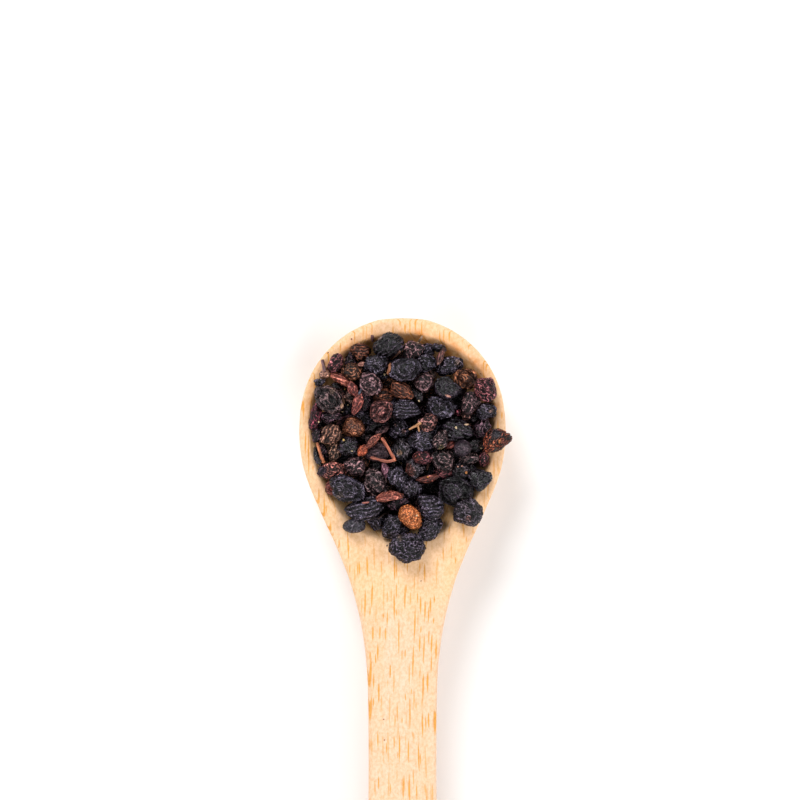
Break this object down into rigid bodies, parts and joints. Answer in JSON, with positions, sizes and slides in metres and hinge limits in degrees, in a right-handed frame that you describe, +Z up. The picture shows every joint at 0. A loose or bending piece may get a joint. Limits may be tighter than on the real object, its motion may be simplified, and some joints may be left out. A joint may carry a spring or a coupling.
{
  "type": "wooden spoon heaped with dried elderberries",
  "caption": "Small carved wooden spoon, its round bowl heaped with shrivelled dried elderberries and bits of stalk.",
  "frame": {"origin": "centre of the flat under the bowl, on the surface that the spoon lies on", "axes": "+Y towards the spoon's tip with the handle along -Y, +Z up out of the bowl, +X to the right seen from above"},
  "size_m": [0.0327, 0.1398, 0.0141],
  "materials": {
    "wood": "bare close-grained pale wood, satin",
    "berry_black": "dried, finely wrinkled blue-black skin, satin to glossy",
    "berry_purple": "dried, wrinkled purple-brown skin, satin",
    "berry_brown": "dried, ridged brown skin, satin",
    "berry_orange": "dried, orange-brown skin, smooth and semi-gloss",
    "berry_red": "dried, red-brown skin, satin",
    "stalk": "dry red-tan stalk, matt"
  },
  "bodies": {
    "root": {"spoon": "wood", "berry_trio_01": "berry_red", "berry_trio_02": "berry_brown", "berry_trio_05": "berry_red", "berry_four_07": "berry_red", "berry_trio_09": "berry_black", "berry_trio_14": "berry_red", "berry_trio_15": "berry_black", "berry_four_18": "berry_black", "berry_four_22": "berry_purple", "berry_pair_23": "berry_black", "berry_pair_27": "berry_brown", "berry_pair_29": "berry_black", "berry_31": "berry_black", "berry_pair_32": "berry_red", "berry_four_33": "berry_black", "berry_pair_36": "berry_black", "berry_four_37": "berry_brown", "berry_trio_40": "berry_black", "berry_42": "berry_orange", "berry_trio_43": "berry_black", "berry_trio_45": "berry_black", "berry_pair_46": "berry_black", "berry_50": "berry_black", "berry_trio_51": "berry_black", "berry_pair_52": "berry_red", "berry_pair_55": "berry_purple", "berry_57": "berry_orange", "berry_trio_58": "berry_black", "berry_four_61": "berry_brown", "berry_pair_64": "berry_red", "berry_trio_68": "berry_black", "berry_pair_69": "berry_black", "berry_four_74": "berry_black", "berry_77": "berry_red", "berry_79": "berry_purple", "berry_trio_80": "berry_black", "berry_81": "berry_black", "berry_pair_83": "berry_black", "berry_pair_85": "berry_black", "berry_pair_88": "berry_red", "berry_trio_91": "berry_black", "berry_pair_92": "berry_orange", "berry_99": "berry_black", "lower_berries_1": "berry_black", "lower_berries_2": "berry_black", "middle_berries_1": "berry_black", "middle_berries_2": "berry_black", "middle_berries_3": "berry_black", "middle_berries_4": "berry_black", "middle_berries_5": "berry_black", "middle_berries_6": "berry_black", "middle_berries_7": "berry_black", "middle_berries_8": "berry_black", "middle_berries_9": "berry_black", "middle_berries_10": "berry_black", "middle_berries_11": "berry_black", "bent_stalk": "stalk", "short_stalk": "stalk", "forked_stalk": "stalk"}
  },
  "joints": []
}
